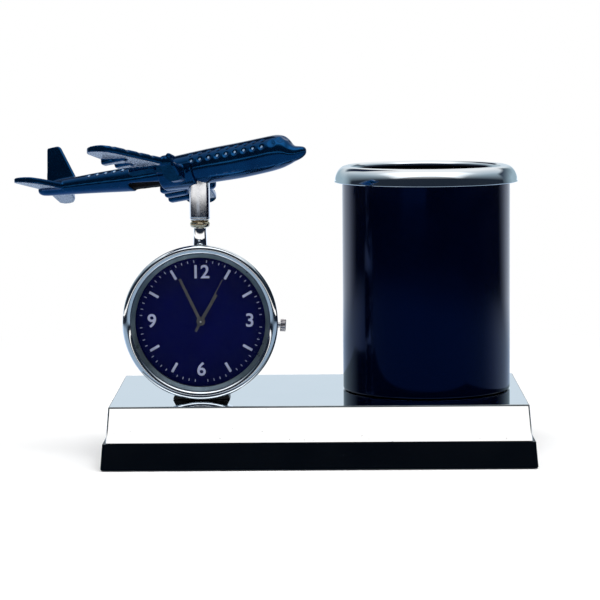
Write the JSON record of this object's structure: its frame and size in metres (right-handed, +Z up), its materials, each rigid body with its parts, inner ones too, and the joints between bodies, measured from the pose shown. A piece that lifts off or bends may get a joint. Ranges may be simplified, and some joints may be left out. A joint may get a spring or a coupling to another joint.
{
  "type": "pen holder clock",
  "caption": "Desk set with a round quartz clock under a swivelling model airliner and a round pen tumbler, on a polished cover over a black plinth.",
  "frame": {"origin": "centre of the felt pad underside, which is the face that the set stands on", "axes": "+Z up, +X to the right as seen from the dial side, along the longer side of the base; +Y away from the viewer, so the dial faces -Y"},
  "size_m": [0.2305, 0.1126, 0.1439],
  "materials": {
    "gloss_black": "gloss black moulding",
    "chrome": "polished chrome plate",
    "board": "raw fibre board",
    "felt": "black felt",
    "steel": "plain plated steel",
    "navy_enamel": "deep gloss navy enamel",
    "black_plastic": "satin black moulding",
    "rubber": "black rubber",
    "crystal": "clear mineral crystal",
    "dial_navy": "gloss navy print",
    "white_plastic": "natural white moulding",
    "movement_metal": "plated brass plates",
    "hand_grey": "satin gunmetal",
    "brass": "polished brass",
    "airliner_blue": "gloss midnight blue enamel on a casting"
  },
  "bodies": {
    "base": {"plinth": "gloss_black", "felt_pad": "felt", "core_board": "board", "base_cover": "chrome", "board_screw_front_left": "steel", "board_screw_front_right": "steel", "board_screw_rear_left": "steel", "board_screw_rear_right": "steel", "cup_bolt": "steel", "cup_washer": "steel", "cup_nut": "steel", "cup_shell": "navy_enamel", "cup_rim": "chrome", "clock_foot": "black_plastic", "clock_bolt": "steel", "clock_case": "chrome", "clock_bezel": "chrome", "crystal": "crystal", "crystal_gasket": "rubber", "dial_spacer": "black_plastic", "dial": "dial_navy", "movement_holder": "white_plastic", "movement": "movement_metal", "button_cell": "steel", "cell_strap": "steel", "neck_post": "chrome", "brass_collar": "brass"},
    "minute_work": {"minute_hand": "hand_grey", "minute_pipe": "brass"},
    "hour_work": {"hour_hand": "hand_grey", "hour_pipe": "brass"},
    "second_work": {"second_hand": "hand_grey", "second_pin": "steel"},
    "setting_slide": {"setting_lever": "steel"},
    "crown_group": {"crown": "steel", "winding_stem": "steel"},
    "case_back": {"back_cover": "steel"},
    "airliner": {"swivel_sleeve": "chrome", "sleeve_grub_screw": "steel", "plane_screw": "steel", "fuselage": "airliner_blue", "wing_casting": "airliner_blue"}
  },
  "joints": [
    {"name": "minute_hand_turn", "type": "hinge", "parent": "base", "child": "minute_work", "pos_m": [-0.0515, -0.031, 0.06195], "axis": [0, 1, 0], "continuous": true},
    {"name": "hour_hand_turn", "type": "hinge", "parent": "base", "child": "hour_work", "pos_m": [-0.0515, -0.031, 0.06195], "axis": [0, 1, 0], "continuous": true},
    {"name": "second_hand_turn", "type": "hinge", "parent": "base", "child": "second_work", "pos_m": [-0.0515, -0.031, 0.06195], "axis": [0, 1, 0], "continuous": true},
    {"name": "crown_pull", "type": "slide", "parent": "base", "child": "setting_slide", "axis": [0.9978, 0, -0.0663], "range_m": [0, 0.0009]},
    {"name": "crown_turn", "type": "hinge", "parent": "setting_slide", "child": "crown_group", "pos_m": [-0.0515, -0.02245, 0.06195], "axis": [0.9978, 0, -0.0663], "continuous": true},
    {"name": "case_back_pull", "type": "slide", "parent": "base", "child": "case_back", "axis": [0, 1, 0], "range_m": [0, 0.012]},
    {"name": "airliner_swivel", "type": "hinge", "parent": "base", "child": "airliner", "pos_m": [-0.0515, -0.02275, 0.10665], "axis": [0, 0, 1], "range_deg": [-105, 180]}
  ],
  "couplings": [
    {"joint": "hour_hand_turn", "follows": "minute_hand_turn", "ratio": 0.083333}
  ]
}
